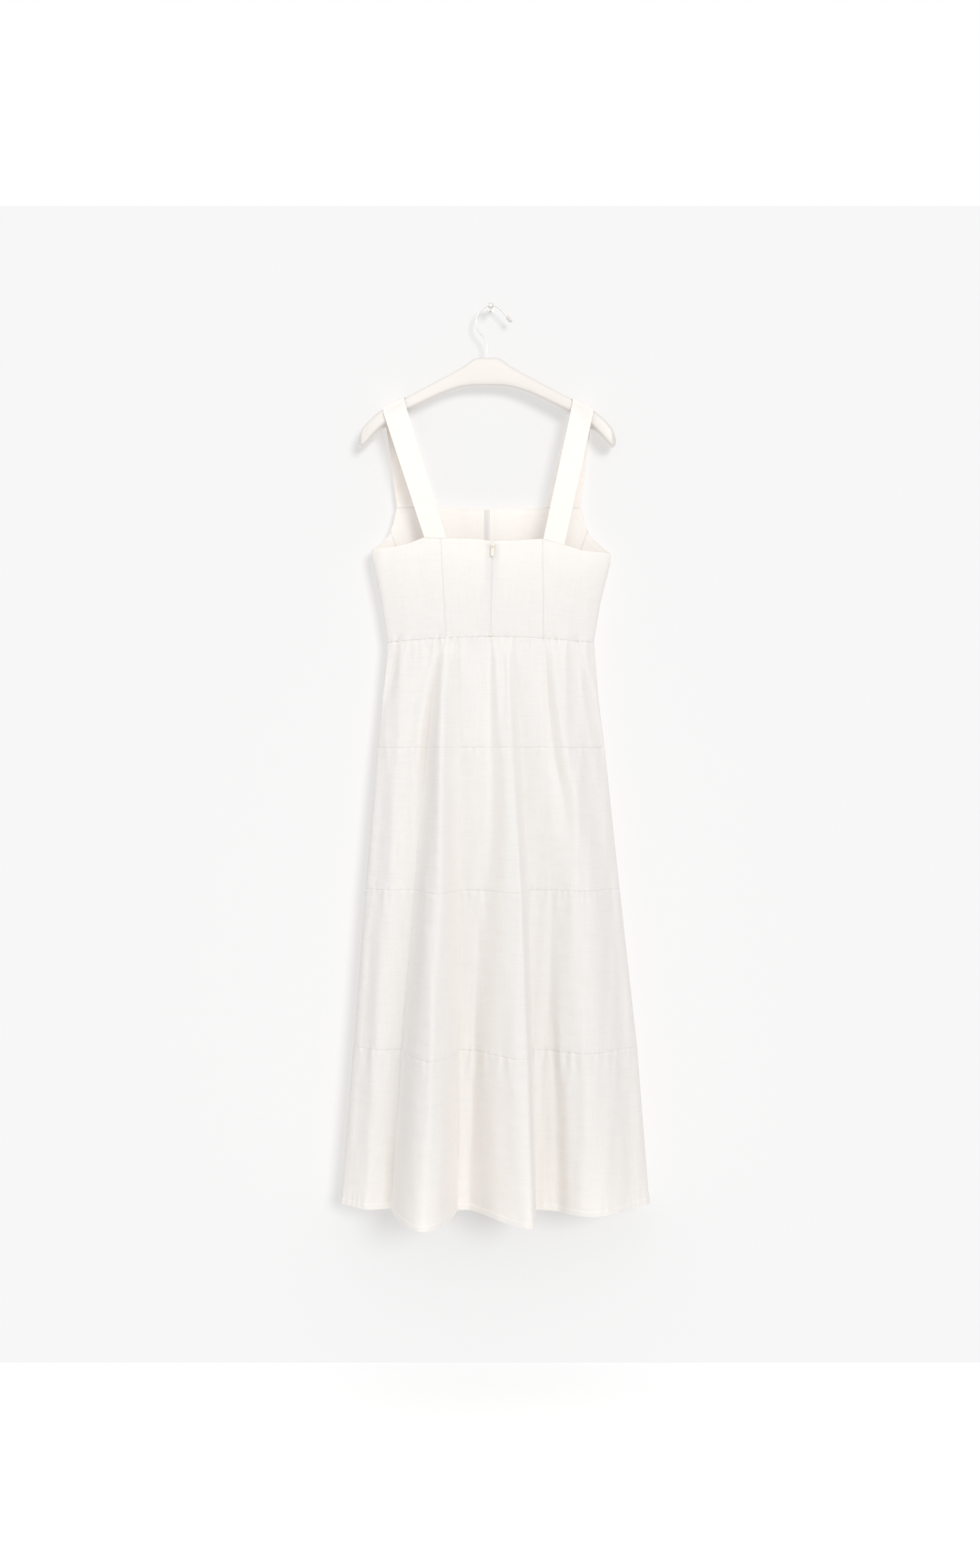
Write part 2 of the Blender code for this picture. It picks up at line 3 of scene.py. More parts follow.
import bpy
import numpy as np
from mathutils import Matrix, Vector


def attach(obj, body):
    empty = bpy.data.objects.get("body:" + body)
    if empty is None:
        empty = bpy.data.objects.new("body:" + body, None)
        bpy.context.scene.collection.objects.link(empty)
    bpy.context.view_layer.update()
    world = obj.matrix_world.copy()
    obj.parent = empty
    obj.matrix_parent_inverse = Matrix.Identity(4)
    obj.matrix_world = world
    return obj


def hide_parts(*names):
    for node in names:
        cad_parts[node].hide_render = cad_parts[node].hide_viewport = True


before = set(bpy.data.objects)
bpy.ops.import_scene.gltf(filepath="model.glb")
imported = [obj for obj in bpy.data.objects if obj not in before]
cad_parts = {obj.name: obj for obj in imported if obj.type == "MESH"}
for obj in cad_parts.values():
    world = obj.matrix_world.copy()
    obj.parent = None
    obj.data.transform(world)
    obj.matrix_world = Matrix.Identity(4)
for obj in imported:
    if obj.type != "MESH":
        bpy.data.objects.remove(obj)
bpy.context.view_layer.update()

print("frame loaded:", len(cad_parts), "nodes")


# linear colour of an sRGB hex code
def linear(code):
    values = [int(code[i:i + 2], 16) / 255 for i in (0, 2, 4)]
    return tuple(v / 12.92 if v <= 0.04045 else ((v + 0.055) / 1.055) ** 2.4 for v in values) + (1.0,)


# one node, with its settings and what its inputs come from
def addNode(tree, kind, settings=None, links=None):
    node = tree.nodes.new(kind)
    for key, value in (settings or {}).items():
        if isinstance(key, str) and hasattr(node, key):
            setattr(node, key, value)
        else:
            node.inputs[key].default_value = value
    for key, source in (links or {}).items():
        tree.links.new(source, node.inputs[key])
    return node


def newMaterial(name):
    material = bpy.data.materials.new(name)
    material.use_nodes = True
    return material, material.node_tree, material.node_tree.nodes["Principled BSDF"]


# the colour of a ramp between two sRGB hex codes
def rampColour(tree, source, low, high, lowAt=0.0, highAt=1.0):
    ramp = addNode(tree, "ShaderNodeValToRGB", links={"Fac": source})
    first, last = ramp.color_ramp.elements
    first.position, last.position = lowAt, highAt
    first.color, last.color = linear(low), linear(high)
    return ramp.outputs["Color"]


def smoothStep(value):
    value = np.clip(value, 0.0, 1.0)
    return value * value * (3 - 2 * value)


# a hump of height 1, that falls off so far from its middle
def hump(away, wide):
    return np.exp(-(away / wide) ** 2)


# camera, level with the middle of the picture

cameraSettings = dict(
    place=(-0.001, -2.85, -0.7795),
    pixelsFocal=2666.7,  # focal length in pixels of the 1512 x 2420 picture
    pixelsHigh=2420,
    sensor=36.0,
    clip=(0.05, 60),
)


def makeCamera():
    s = cameraSettings
    bpy.ops.object.camera_add(location=s["place"], rotation=(math.pi / 2, 0, 0))
    camera = bpy.context.object
    camera.name = "photoCamera"
    camera.data.sensor_width = s["sensor"]
    camera.data.lens = s["pixelsFocal"] / s["pixelsHigh"] * s["sensor"]
    camera.data.clip_start, camera.data.clip_end = s["clip"]
    bpy.context.scene.camera = camera


# stage: a white wall, a pale floor and soft light from the upper right. Wall and floor bounce no light onto
# the dress, so two wide suns stand for what they give back

stageSettings = dict(
    wallTop=0.174,      # the wall's upper edge, plain white above it
    floorLevel=-1.734,
    halfWidth=7.0,
    wallColour="F8F8F8",
    floorColour="FFFFFF",
    wallRoughness=0.95,
    floorRoughness=0.9,
    wallGlow=0.187,
    floorGlow=0.37,
    skyLight=0.58,      # what the white room gives. It is seen at full strength
    suns=(              # size across, aside to the camera's right and up above level, in degrees
        dict(name="wallSun", strength=0.74, size=20.0, aside=21.0, up=15.0, onStage=True),
        dict(name="rightSun", strength=0.54, size=30.0, aside=35.0, up=8.0, onStage=False),
        dict(name="frontSun", strength=0.20, size=30.0, aside=0.0, up=15.0, onStage=False),
        dict(name="floorBounce", strength=0.26, size=70.0, aside=0.0, up=-45.0, onStage=False),
        dict(name="wallBounce", strength=0.90, size=110.0, aside=180.0, up=5.0, onStage=False),
        dict(name="leftSun", strength=0.60, size=30.0, aside=-60.0, up=15.0, onStage=False),
    ),
    topLight=dict(place=(-0.3, -1.7, 1.2), aim=(0.0, -0.05, -0.55), size=1.2, power=9.6),
)


# Matt white wall paint. Only its front shows, so the dress can be seen and lit from the wall's side too
def wallPaint():
    material, tree, shader = newMaterial("mattWallPaint")
    shader.inputs["Base Color"].default_value = linear(stageSettings["wallColour"])
    shader.inputs["Roughness"].default_value = stageSettings["wallRoughness"]
    shader.inputs["Specular IOR Level"].default_value = 0.0
    shader.inputs["Emission Color"].default_value = (1, 1, 1, 1)
    shader.inputs["Emission Strength"].default_value = stageSettings["wallGlow"]
    side = addNode(tree, "ShaderNodeNewGeometry")
    clear = addNode(tree, "ShaderNodeBsdfTransparent")
    mix = addNode(tree, "ShaderNodeMixShader",
                  links={0: side.outputs["Backfacing"], 1: shader.outputs[0], 2: clear.outputs[0]})
    tree.links.new(mix.outputs[0], tree.nodes["Material Output"].inputs["Surface"])
    return material


def makeStage():
    s = stageSettings
    bpy.ops.object.select_all(action="DESELECT")
    bpy.ops.mesh.primitive_plane_add(size=1, location=(0, 0, (s["wallTop"] + s["floorLevel"]) / 2),
                                     rotation=(math.pi / 2, 0, 0))
    wall = bpy.context.object
    wall.name = "wallBackdrop"
    wall.scale = (2 * s["halfWidth"], s["wallTop"] - s["floorLevel"], 1)
    wall.data.materials.append(wallPaint())
    bpy.ops.mesh.primitive_plane_add(size=2 * s["halfWidth"], location=(0, 0, s["floorLevel"]))
    floor = bpy.context.object
    floor.name = "paleFloor"
    paint, tree, shader = newMaterial("paleFloorPaint")
    shader.inputs["Base Color"].default_value = linear(s["floorColour"])
    shader.inputs["Roughness"].default_value = s["floorRoughness"]
    shader.inputs["Emission Color"].default_value = (1, 1, 1, 1)
    shader.inputs["Emission Strength"].default_value = s["floorGlow"]
    floor.data.materials.append(paint)
    for thing in (wall, floor):
        thing.visible_shadow = False
        thing.visible_diffuse = False
        thing.visible_glossy = False
        thing.visible_transmission = False
    return wall, floor


# the dress's own lights leave the stage out
def leaveStageOut(light, stage):
    unlit = bpy.data.collections.new(light.name + "LeavesOut")
    for thing in stage:
        unlit.objects.link(thing)
    light.light_linking.receiver_collection = unlit
    for entry in unlit.collection_objects:
        entry.light_linking.link_state = "EXCLUDE"


# a wide sun from one row of the settings
def addSun(row):
    bpy.ops.object.light_add(type="SUN")
    sun = bpy.context.object
    sun.name = row["name"]
    sun.data.energy = row["strength"]
    sun.data.angle = math.radians(row["size"])
    aside, up = math.radians(row["aside"]), math.radians(row["up"])
    away = Vector((math.sin(aside) * math.cos(up), -math.cos(aside) * math.cos(up), math.sin(up)))
    sun.rotation_euler = away.to_track_quat("Z", "Y").to_euler()
    return sun


def makeLight(stage):
    s = stageSettings
    world = bpy.data.worlds.new("whiteRoom")
    bpy.context.scene.world = world
    world.use_nodes = True
    tree = world.node_tree
    room = tree.nodes["Background"]
    room.inputs["Color"].default_value = (1, 1, 1, 1)
    rays = addNode(tree, "ShaderNodeLightPath")
    seen = addNode(tree, "ShaderNodeMath", {"operation": "MAXIMUM"},
                   {0: rays.outputs["Is Camera Ray"], 1: rays.outputs["Is Glossy Ray"]})
    amount = addNode(tree, "ShaderNodeMapRange", {"To Min": s["skyLight"], "To Max": 1.0},
                     {"Value": seen.outputs[0]})
    tree.links.new(amount.outputs[0], room.inputs["Strength"])
    for row in s["suns"]:
        sun = addSun(row)
        if not row["onStage"]:
            leaveStageOut(sun, stage)
    top = s["topLight"]
    bpy.ops.object.light_add(type="AREA", location=top["place"])
    lamp = bpy.context.object
    lamp.name = "topLight"
    lamp.data.energy = top["power"]
    lamp.data.shape = "DISK"
    lamp.data.size = top["size"]
    lamp.rotation_euler = (Vector(top["place"]) - Vector(top["aim"])).to_track_quat("Z", "Y").to_euler()
    leaveStageOut(lamp, stage)
    view = bpy.context.scene.view_settings
    view.view_transform = "Standard"
    view.look = "None"
    view.exposure = 0.0


makeCamera()
makeLight(makeStage())
print("camera and stage ready")


# the dress's form, in metres: the ring at its main levels, from the hem up

ringTable = dict(
    z=(-1.460, -1.204, -0.949, -0.720, -0.640, -0.548, -0.480, -0.405),
    left=(-0.243, -0.222, -0.203, -0.184, -0.176, -0.168, -0.178, -0.193),
    right=(0.257, 0.237, 0.209, 0.185, 0.175, 0.168, 0.178, 0.195),
    middle=(-0.045, -0.043, -0.040, -0.036, -0.035, -0.034, -0.034, -0.034),
    back=(0.052, 0.050, 0.045, 0.035, 0.029, 0.022, 0.026, 0.030),
    front=(0.034, 0.031, 0.028, 0.025, 0.023, 0.020, 0.022, 0.024),
)
formSettings = dict(
    waist=-0.550,
    waistRise=0.009,
    waistWave=0.36,
    bodiceTop=-0.390,
    tierSeams=(-0.720, -0.949, -1.204, -1.458),
    seamGap=0.0003,
    skirtEase=0.02,       # the height over which the skirt's own forms begin
    sideEase=0.25,        # towards the side seams the folds end
    foldDrop=0.13,        # how far a fold hangs lower, as a share of how far it stands out
    foldStart=0.030,
    foldGrowth=0.75,
    foldMiddle=0.45,
    fullness=0.62,        # a fold's crest is broader than a wave's
    fullnessEase=1.4,     # how soon a fold takes on a fullness of its own
    flatter=0.28,         # below the waist the cloth stays flatter towards the sides than an ellipse
    flatterEase=4,
)

# folds that grow from the waist to the hem: crest in x, width to the left and right, height, lean to the
# right and, for some, a fullness of their own
backFolds = (
    dict(waist=-0.070, middle=-0.084, hem=-0.104, left=(0.020, 0.054), right=(0.020, 0.050),
         height=(0.006, 0.094), lean=0.0, full=0.34),
    dict(waist=0.022, middle=0.038, hem=0.046, left=(0.026, 0.080), right=(0.018, 0.027),
         height=(0.005, 0.078), lean=0.017, full=0.68),
    dict(waist=0.108, middle=0.148, hem=0.162, left=(0.024, 0.074), right=(0.020, 0.072),
         height=(0.005, 0.036), lean=0.004, full=0.62),
    dict(waist=-0.140, middle=-0.164, hem=-0.196, left=(0.016, 0.030), right=(0.018, 0.034),
         height=(0.004, 0.010), lean=0.0),
)
frontFolds = (
    dict(waist=-0.096, middle=-0.122, hem=-0.150, left=(0.020, 0.044), right=(0.020, 0.046),
         height=(0.003, 0.026), lean=0.0),
    dict(waist=-0.036, middle=-0.044, hem=-0.050, left=(0.020, 0.040), right=(0.022, 0.044),
         height=(0.003, 0.020), lean=0.0),
    dict(waist=0.034, middle=0.046, hem=0.060, left=(0.020, 0.046), right=(0.020, 0.042),
         height=(0.003, 0.024), lean=0.0),
    dict(waist=0.098, middle=0.128, hem=0.162, left=(0.020, 0.044), right=(0.018, 0.040),
         height=(0.003, 0.022), lean=0.0),
)

# gathers below each seam, from the left: place in metres, how deep and how long in millimetres
backGathers = (
    dict(seam=0, rows=(
        (-.157, 1.4, 60), (-.148, 2.0, 120), (-.133, 1.0, 50), (-.112, 2.2, 130), (-.105, 1.5, 70),
        (-.088, 2.6, 160), (-.080, 2.0, 90), (-.070, 2.6, 170), (-.058, 1.6, 80), (-.041, 0.9, 50),
        (-.026, 2.0, 100), (-.013, 1.4, 60), (.003, 2.4, 180), (.020, 1.9, 110), (.034, 1.8, 90),
        (.052, 0.8, 40), (.072, 0.9, 50), (.090, 2.2, 190), (.100, 1.6, 70), (.110, 2.2, 140),
        (.122, 1.5, 80), (.145, 2.0, 150), (.155, 1.2, 60),
    )),
    dict(seam=1, rows=(
        (-.168, 0.9, 40), (-.150, 0.7, 30), (-.128, 1.3, 70), (-.104, 0.6, 25), (-.072, 0.8, 40),
        (-.050, 1.2, 60), (-.036, 0.7, 30), (-.022, 1.3, 70), (.004, 1.4, 80), (.026, 0.7, 40),
        (.060, 0.6, 30), (.082, 1.3, 70), (.098, 1.0, 50), (.124, 0.8, 40), (.146, 1.1, 60),
        (.172, 1.2, 60),
    )),
    dict(seam=2, rows=(
        (-.190, 1.0, 50), (-.170, 1.6, 90), (-.140, 1.4, 80), (-.118, 0.8, 40), (-.090, 0.9, 50),
        (-.066, 1.2, 60), (-.044, 1.6, 90), (-.016, 1.6, 100), (.008, 0.9, 60), (.040, 0.8, 50),
        (.068, 1.3, 70), (.092, 1.8, 90), (.100, 1.2, 40), (.108, 2.0, 100), (.117, 1.3, 50),
        (.126, 1.9, 90), (.135, 1.2, 40), (.144, 1.8, 80), (.166, 1.0, 50), (.190, 1.5, 90),
        (.200, 0.9, 40),
    )),
    dict(seam=3, rows=(
        (-.210, 1.2, 60), (-.190, 2.0, 110), (-.160, 2.2, 130), (-.132, 1.4, 60), (-.106, 1.2, 50),
        (-.078, 1.6, 80), (-.052, 1.4, 60), (-.030, 2.2, 120), (-.012, 2.4, 140), (-.004, 1.4, 50),
        (.006, 2.4, 130), (.018, 1.8, 70), (.044, 1.2, 60), (.070, 1.6, 80), (.092, 2.4, 140),
        (.110, 1.6, 70), (.126, 2.2, 120), (.143, 2.0, 80), (.150, 2.4, 130), (.158, 1.6, 60),
        (.166, 2.2, 110), (.184, 1.4, 60), (.200, 2.2, 120), (.222, 1.2, 60),
    )),
)
frontGathers = (
    dict(seam=0, rows=(
        (-.152, 1.2, 60), (-.140, 1.9, 110), (-.126, 1.1, 50), (-.112, 2.2, 140), (-.098, 1.3, 70),
        (-.084, 2.0, 120), (-.070, 1.0, 40), (-.056, 2.3, 150), (-.040, 1.2, 60), (-.028, 1.8, 110),
        (-.014, 1.2, 50), (.0, 2.2, 160), (.013, 1.0, 50), (.028, 2.0, 120), (.044, 1.2, 60),
        (.056, 2.2, 140), (.070, 1.1, 50), (.084, 1.9, 110), (.100, 1.2, 60), (.112, 2.1, 130),
        (.128, 1.0, 50), (.140, 1.8, 100), (.154, 1.2, 60),
    )),
    dict(seam=1, rows=(
        (-.150, 1.3, 70), (-.120, 0.7, 30), (-.090, 1.3, 60), (-.062, 0.8, 40), (-.030, 1.3, 80),
        (.0, 0.7, 30), (.030, 1.2, 70), (.058, 0.8, 40), (.090, 1.3, 60), (.124, 0.7, 30),
        (.150, 1.2, 60),
    )),
    dict(seam=2, rows=(
        (-.170, 1.5, 90), (-.142, 0.9, 40), (-.110, 1.5, 80), (-.086, 0.9, 50), (-.060, 1.6, 100),
        (-.026, 0.9, 40), (.010, 1.5, 90), (.040, 0.8, 40), (.070, 1.6, 90), (.100, 0.9, 50),
        (.130, 1.5, 80), (.156, 0.9, 40), (.180, 1.4, 80),
    )),
    dict(seam=3, rows=(
        (-.190, 1.9, 110), (-.160, 1.2, 50), (-.130, 2.0, 100), (-.100, 1.2, 60), (-.070, 2.1, 130),
        (-.034, 1.2, 50), (.0, 2.0, 120), (.036, 1.2, 60), (.080, 2.2, 120), (.110, 1.2, 50),
        (.140, 2.0, 110), (.170, 1.2, 60), (.200, 1.9, 100),
    )),
)
gatherSettings = dict(
    depth=0.9,
    longer=1.5,
    fading=1.5,
    slants=(0.05, -0.04, -0.04),
    narrow=0.0028,      # half width at the seam
    spread=0.0055,      # how much wider it gets
    spreadOver=0.060,
    spreadMost=1.6,
    above=0.016,        # how far a gather still shows above its seam
    aboveShare=0.4,
    hollow=0.55,        # the hollow beside each ridge
    hollowAway=1.9,
)
# long hollows of the back: middle line (x, z), depth and half width at both ends in millimetres, and the
# share of the length where it starts to fade, if it does
backHollows = (
    dict(line=((-.148, -.541), (-.160, -.600), (-.172, -.655), (-.182, -.715)), deep=6.5,
         wide=(4, 11), full=0.35),
    dict(line=((-.126, -.541), (-.131, -.640)), deep=2.0, wide=(3, 7), full=0.2),
    dict(line=((-.082, -.541), (-.091, -.620), (-.100, -.702), (-.108, -.820), (-.118, -.950)), deep=8.5,
         wide=(4, 15), full=0.5),
    dict(line=((-.052, -.541), (-.056, -.660)), deep=2.4, wide=(3, 8), full=0.3),
    dict(line=((.002, -.541), (.001, -.640), (.003, -.800), (.003, -1.05)), deep=6.5,
         wide=(3, 13), full=0.5),
    dict(line=((.022, -.541), (.020, -.640), (.014, -.720)), deep=2.6, wide=(3, 7), full=0.3),
    dict(line=((.088, -.541), (.094, -.640), (.102, -.731), (.115, -.800), (.127, -.872), (.130, -.960)),
         deep=8.0, wide=(3.5, 14), full=0.5),
    dict(line=((.106, -.541), (.118, -.640)), deep=2.6, wide=(3, 8), full=0.3),
    dict(line=((.140, -.541), (.160, -.640), (.178, -.720), (.196, -.840)), deep=5.0,
         wide=(4, 12), full=0.5),
    dict(line=((-.066, -1.160), (-.064, -1.300), (-.063, -1.470)), deep=2.2, wide=(4, 9), full=None),
    dict(line=((.100, -1.160), (.104, -1.300), (.110, -1.470)), deep=3.0, wide=(4, 12), full=None),
)
hollowSettings = dict(
    ease=0.08,          # shares of the length over which a hollow begins
    deepen=0.3,         # and over which it grows to its full depth
    firstDepth=0.55,
    rim=0.3,            # the low rim beside each hollow
    rimAway=2.1,
    rimWide=1.1,
)
wrinkleSettings = dict(
    seed=7,
    onBodice=0.45,      # the bodice is smoother than the skirt
    phase=6.28,
    longWaves=9,
    longHeight=0.0003125,
    longAcross=(0.018, 0.055),
    longDown=(0.25, 0.8),
    crumples=15,
    crumpleHeight=0.00010,
    crumpleLength=(0.012, 0.045),
    crumpleBend=1.4,
    bendRate=(15, 40),
)


def ringAt(z):
    sides = ("left", "right", "middle", "back", "front")
    return {side: np.interp(z, ringTable["z"], ringTable[side]) for side in sides}


def waistLine(x):
    s = formSettings
    return s["waist"] + s["waistRise"] * np.cos(math.pi * x / s["waistWave"])


def bump(distance, left, right, fullness):
    share = np.abs(distance / np.where(distance < 0, left, right))
    return np.where(share < 1, 0.5 + 0.5 * np.cos(math.pi * np.minimum(share, 1)), 0.0) ** fullness


# 0 at the waist and 1 at the hem
def fallAt(z):
    s = formSettings
    return np.clip((s["waist"] - z) / (s["waist"] - s["tierSeams"][-1]), 0, 1)


# how far the folds move the cloth out, and along x
def foldAt(x, z, folds):
    s = formSettings
    down = fallAt(z)
    started = np.clip((s["waist"] + s["waistRise"] - z) / s["foldStart"], 0, 1)
    grown = down ** s["foldGrowth"]
    out = np.zeros_like(x)
    along = np.zeros_like(x)
    for row in folds:
        crest = np.interp(down, (0.0, s["foldMiddle"], 1.0), (row["waist"], row["middle"], row["hem"]))
        left, right, height = (a + (b - a) * grown for a, b in (row["left"], row["right"], row["height"]))
        full = row.get("full", s["fullness"])
        share = bump(x - crest, left, right, 1 - (1 - full) * np.minimum(s["fullnessEase"] * down, 1))
        out = out + height * share * started
        along = along + row["lean"] * share * down
    return out, along


# small ridges that start at a seam, widen and fade as they run down
def gatherAt(x, z, gathers):
    s = gatherSettings
    seams = (waistLine(x),) + formSettings["tierSeams"]
    out = np.zeros_like(x)
    for row in gathers:
        below = seams[row["seam"]] - z
        longest = max(long for _, _, long in row["rows"]) / 1000 * s["longer"]
        if not ((below > -s["above"]) & (below < longest)).any():
            continue
        wide = s["narrow"] + s["spread"] * np.clip(below / s["spreadOver"], 0, s["spreadMost"])
        for k, (place, deep, long) in enumerate(row["rows"]):
            gone = np.where(below >= 0, below / (long / 1000 * s["longer"]), -below / s["above"])
            fade = np.clip(1 - gone, 0, 1) ** s["fading"] * np.where(below >= 0, 1.0, s["aboveShare"])
            slant = s["slants"][k % len(s["slants"])] * np.maximum(below, 0)
            away = (x - place - slant) / wide
            ridge = hump(away, 1) - s["hollow"] * hump(np.abs(away) - s["hollowAway"], 1)
            out = out + deep / 1000 * s["depth"] * fade * ridge
    return out


# hollows that run down along their lines, each with a low rim on both sides
def hollowAt(x, z, hollows):
    s = hollowSettings
    out = np.zeros_like(x)
    for row in hollows:
        lineX, lineZ = np.asarray(row["line"]).T
        share = (lineZ[0] - z) / (lineZ[0] - lineZ[-1])
        amount = s["firstDepth"] + (1 - s["firstDepth"]) * smoothStep(share / s["deepen"])
        amount = amount * smoothStep(share / s["ease"] + 0.5)
        if row["full"]:
            amount = amount * (1 - smoothStep((share - row["full"]) / (1 - row["full"])))
        half = (row["wide"][0] + (row["wide"][1] - row["wide"][0]) * np.clip(share, 0, 1)) / 1000
        away = (x - np.interp(-z, -lineZ, lineX)) / half
        dip = hump(away, 1) - s["rim"] * hump(np.abs(away) - s["rimAway"], s["rimWide"])
        out = out - row["deep"] / 1000 * amount * dip
    return out


# soft upright waves and a faint crumple, as washed linen keeps
def wrinkleAt(x, z, side):
    s = wrinkleSettings
    draws = np.random.default_rng(s["seed"] + (side == "front"))
    out = np.zeros_like(x)
    for _ in range(s["longWaves"]):
        across = 2 * math.pi / draws.uniform(*s["longAcross"])
        down = 2 * math.pi / draws.uniform(*s["longDown"]) * draws.choice((-1, 1))
        out = out + s["longHeight"] * np.sin(across * x + down * z + draws.uniform(0, s["phase"]))
    for _ in range(s["crumples"]):
        turn = draws.uniform(0, math.pi)
        wave = 2 * math.pi / draws.uniform(*s["crumpleLength"])
        phase = wave * (x * math.cos(turn) + z * math.sin(turn)) + draws.uniform(0, s["phase"])
        bend = s["crumpleBend"] * np.sin(z * draws.uniform(*s["bendRate"]) + draws.uniform(0, s["phase"]))
        out = out + s["crumpleHeight"] * np.sin(phase + bend)
    return out


# points of the dress at an angle round the ring and a level. Inward moves them square to the ring, and fine
# is the share of the gathers, hollows and wrinkles
def clothPoint(angle, z, side, inward=0.0, fine=1.0):
    s = formSettings
    at = ringAt(z)
    half = (at["right"] - at["left"]) / 2
    x = (at["right"] + at["left"]) / 2 + half * np.sin(angle)
    reach = np.maximum(np.cos(angle), 0.0)
    back = side == "back"
    toward = -1 if back else 1
    out, along = foldAt(x, z, backFolds if back else frontFolds)
    out = out if back else -out
    edge = np.minimum(1.0, reach / s["sideEase"])
    skirt = smoothStep((waistLine(x) + s["skirtEase"] - z) / s["skirtEase"])
    bare = wrinkleSettings["onBodice"]
    gathered = gatherAt(x, z, backGathers if back else frontGathers) * skirt
    lift = (gathered + wrinkleAt(x, z, side) * (bare + (1 - bare) * skirt)) * fine
    if back:
        lift = lift + hollowAt(x, z, backHollows) * skirt * fine
    squareX, squareY = np.sin(angle) * at[side], reach * half
    square = np.hypot(squareX, squareY)
    flat = reach ** (1 - s["flatter"] * smoothStep(fallAt(z) * s["flatterEase"]))
    y = s["seamGap"] / 2 + at[side] * flat + (out + lift) * edge - inward * squareY / square
    drop = s["foldDrop"] * np.abs(out) * edge * fallAt(z) * back
    return x + along * edge - inward * squareX / square, at["middle"] + toward * y, z - drop


# linen

linenSettings = dict(
    colour="EBE5E0",        # warm ivory
    slubColour="E9E3DD",    # thick threads, a little darker
    threadSpacing=0.0012,   # a real thread is 0.6 mm from the next, too fine to show
    bandsPerScale=20,       # a wave texture of scale 1 has its bands 2 pi / 20 apart
    threadWander=0.6,
    threadHeight=0.3,       # beside the slubs'
    slubLength=0.045,
    slubWidth=0.0030,
    slubFrom=0.70,          # where the slubs' colour gives way to the cloth's
    relief=0.00015,
    bump=0.12,
    roughness=0.88,
    sheen=0.12,
    sheenRoughness=0.5,
    specular=0.25,
    glow=0.6,               # light that comes through the thin cloth
    glowReach=(1.0, 0.9, 0.8),
    glowDepth=0.003,
)


# Plain-woven linen, washed: matt, with a faint sheen of loose fibre, and slubs along both threads
def linenCloth():
    s = linenSettings
    material, tree, shader = newMaterial("wovenLinen")
    spot = addNode(tree, "ShaderNodeUVMap")
    waveScale = 2 * math.pi / s["bandsPerScale"] / s["threadSpacing"]
    threads = []
    slubs = []
    thin, long = 1 / s["slubWidth"], 1 / s["slubLength"]
    for direction, scale in (("X", (thin, long, 1.0)), ("Y", (long, thin, 1.0))):
        stretch = addNode(tree, "ShaderNodeMapping", {"Scale": scale}, {"Vector": spot.outputs["UV"]})
        slubs.append(addNode(tree, "ShaderNodeTexNoise",
                             {"noise_dimensions": "2D", "Scale": 1.0, "Detail": 1.0, "Roughness": 0.5},
                             {"Vector": stretch.outputs[0]}).outputs["Fac"])
        threads.append(addNode(tree, "ShaderNodeTexWave",
                               {"bands_direction": direction, "Scale": waveScale,
                                "Distortion": s["threadWander"], "Detail": 1.0, "Detail Scale": 0.4},
                               {"Vector": spot.outputs["UV"]}).outputs["Fac"])
    weave = addNode(tree, "ShaderNodeMath", {"operation": "MAXIMUM"}, {0: threads[0], 1: threads[1]})
    thick = addNode(tree, "ShaderNodeMath", {"operation": "ADD"}, {0: slubs[0], 1: slubs[1]})
    height = addNode(tree, "ShaderNodeMath", {"operation": "MULTIPLY_ADD", 1: s["threadHeight"]},
                     {0: weave.outputs[0], 2: thick.outputs[0]})
    relief = addNode(tree, "ShaderNodeBump", {"Strength": s["bump"], "Distance": s["relief"]},
                     {"Height": height.outputs[0]})
    colour = rampColour(tree, thick.outputs[0], s["slubColour"], s["colour"], s["slubFrom"])
    tree.links.new(colour, shader.inputs["Base Color"])
    tree.links.new(relief.outputs["Normal"], shader.inputs["Normal"])
    shader.inputs["Roughness"].default_value = s["roughness"]
    shader.inputs["Sheen Weight"].default_value = s["sheen"]
    shader.inputs["Sheen Roughness"].default_value = s["sheenRoughness"]
    shader.inputs["Specular IOR Level"].default_value = s["specular"]
    shader.inputs["Subsurface Weight"].default_value = s["glow"]
    shader.inputs["Subsurface Radius"].default_value = s["glowReach"]
    shader.inputs["Subsurface Scale"].default_value = s["glowDepth"]
    return material


linen = linenCloth()

clothSettings = dict(thickness=0.0009, strapThickness=0.0012, smoothAngle=50)


